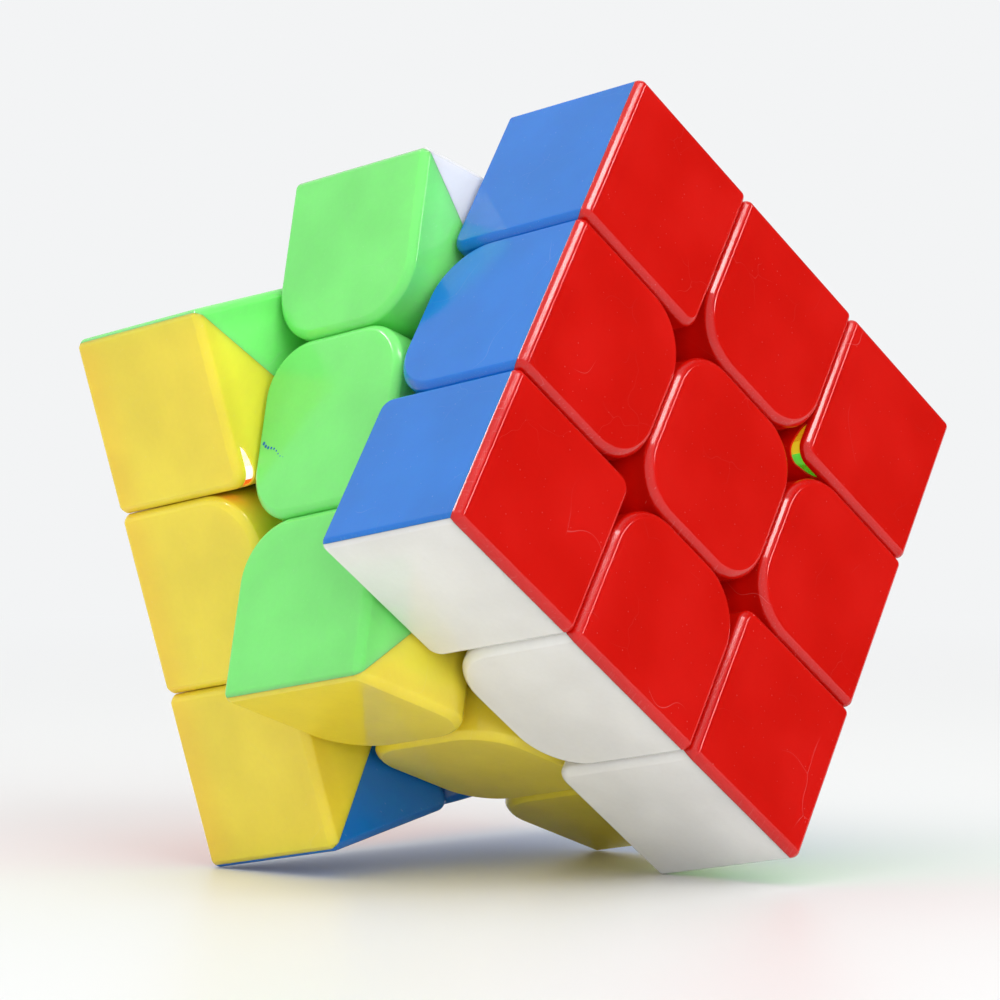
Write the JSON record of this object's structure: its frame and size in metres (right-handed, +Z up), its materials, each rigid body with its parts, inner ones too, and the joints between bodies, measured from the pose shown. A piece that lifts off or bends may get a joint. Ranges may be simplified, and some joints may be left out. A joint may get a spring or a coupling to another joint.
{
  "type": "twisty puzzle cube",
  "caption": "Twisty puzzle cube with glossy coloured shells, standing on its corners with the outer layers turned out of line about a sprung core.",
  "frame": {"origin": "on the surface that the puzzle stands on, under the middle of its bounding box", "axes": "+X along the ground under the axis that the layers turn about, which rises by 9.7 degrees towards the red layer; +Z up; +Y to the left of +X"},
  "size_m": [0.067, 0.0778, 0.0797],
  "materials": {
    "red_shell": "polished moulded ABS, coloured right through",
    "orange_shell": "polished moulded ABS, coloured right through",
    "green_shell": "polished moulded ABS, coloured right through",
    "blue_shell": "polished moulded ABS, coloured right through",
    "yellow_shell": "polished moulded ABS, coloured right through",
    "white_shell": "polished moulded ABS, coloured right through",
    "core": "fine moulded nylon",
    "steel": "plated wire and turned screws"
  },
  "bodies": {
    "core": {"core": "core", "edge_blue_white_blue_shell": "blue_shell", "edge_blue_white_white_shell": "white_shell", "edge_green_yellow_green_shell": "green_shell", "edge_green_yellow_yellow_shell": "yellow_shell", "edge_white_green_green_shell": "green_shell", "edge_white_green_white_shell": "white_shell", "edge_yellow_blue_blue_shell": "blue_shell", "edge_yellow_blue_yellow_shell": "yellow_shell", "tension_screw_blue": "steel", "tension_screw_green": "steel", "tension_screw_orange": "steel", "tension_screw_red": "steel", "tension_screw_white": "steel", "tension_screw_yellow": "steel", "tension_spring_blue": "steel", "tension_spring_green": "steel", "tension_spring_orange": "steel", "tension_spring_red": "steel", "tension_spring_white": "steel", "tension_spring_yellow": "steel"},
    "red_layer": {"corner_red_blue_white": "red_shell", "corner_red_green_yellow": "red_shell", "corner_red_white_green": "red_shell", "corner_red_yellow_blue": "red_shell", "edge_red_blue_blue_shell": "blue_shell", "edge_red_blue_red_shell": "red_shell", "edge_red_green_green_shell": "green_shell", "edge_red_green_red_shell": "red_shell", "edge_red_white_red_shell": "red_shell", "edge_red_white_white_shell": "white_shell", "edge_red_yellow_red_shell": "red_shell", "edge_red_yellow_yellow_shell": "yellow_shell"},
    "orange_layer": {"corner_orange_blue_white": "orange_shell", "corner_orange_green_yellow": "orange_shell", "corner_orange_white_green": "orange_shell", "corner_orange_yellow_blue": "orange_shell", "edge_orange_blue_blue_shell": "blue_shell", "edge_orange_blue_orange_shell": "orange_shell", "edge_orange_green_green_shell": "green_shell", "edge_orange_green_orange_shell": "orange_shell", "edge_orange_white_orange_shell": "orange_shell", "edge_orange_white_white_shell": "white_shell", "edge_orange_yellow_orange_shell": "orange_shell", "edge_orange_yellow_yellow_shell": "yellow_shell"},
    "red_centre": {"centre_cap_red": "red_shell", "centre_base_red": "red_shell"},
    "orange_centre": {"centre_cap_orange": "orange_shell", "centre_base_orange": "orange_shell"},
    "green_centre": {"centre_cap_green": "green_shell", "centre_base_green": "green_shell"},
    "blue_centre": {"centre_cap_blue": "blue_shell", "centre_base_blue": "blue_shell"},
    "yellow_centre": {"centre_cap_yellow": "yellow_shell", "centre_base_yellow": "yellow_shell"},
    "white_centre": {"centre_cap_white": "white_shell", "centre_base_white": "white_shell"}
  },
  "joints": [
    {"name": "red_layer_turn", "type": "hinge", "parent": "core", "child": "red_layer", "pos_m": [-0.00056, 0, 0.03664], "axis": [0.9856, 0, 0.1689], "continuous": true},
    {"name": "orange_layer_turn", "type": "hinge", "parent": "core", "child": "orange_layer", "pos_m": [-0.00056, 0, 0.03664], "axis": [-0.9856, 0, -0.1689], "continuous": true},
    {"name": "red_centre_pull", "type": "slide", "parent": "red_layer", "child": "red_centre", "axis": [0.9856, 0, 0.1689], "range_m": [0, 0.0008], "stiffness_N_per_m": 800, "springref_m": -0.003, "deforming": ["tension_spring_red"]},
    {"name": "orange_centre_pull", "type": "slide", "parent": "orange_layer", "child": "orange_centre", "axis": [-0.9856, 0, -0.1689], "range_m": [0, 0.0008], "stiffness_N_per_m": 800, "springref_m": -0.003, "deforming": ["tension_spring_orange"]},
    {"name": "green_centre_pull", "type": "slide", "parent": "core", "child": "green_centre", "axis": [-0.0581, -0.9389, 0.3392], "range_m": [0, 0.0008], "stiffness_N_per_m": 800, "springref_m": -0.003, "deforming": ["tension_spring_green"]},
    {"name": "blue_centre_pull", "type": "slide", "parent": "core", "child": "blue_centre", "axis": [0.0581, 0.9389, -0.3392], "range_m": [0, 0.0008], "stiffness_N_per_m": 800, "springref_m": -0.003, "deforming": ["tension_spring_blue"]},
    {"name": "yellow_centre_pull", "type": "slide", "parent": "core", "child": "yellow_centre", "axis": [0.1586, -0.3441, -0.9254], "range_m": [0, 0.0008], "stiffness_N_per_m": 800, "springref_m": -0.003, "deforming": ["tension_spring_yellow"]},
    {"name": "white_centre_pull", "type": "slide", "parent": "core", "child": "white_centre", "axis": [-0.1586, 0.3441, 0.9254], "range_m": [0, 0.0008], "stiffness_N_per_m": 800, "springref_m": -0.003, "deforming": ["tension_spring_white"]}
  ]
}
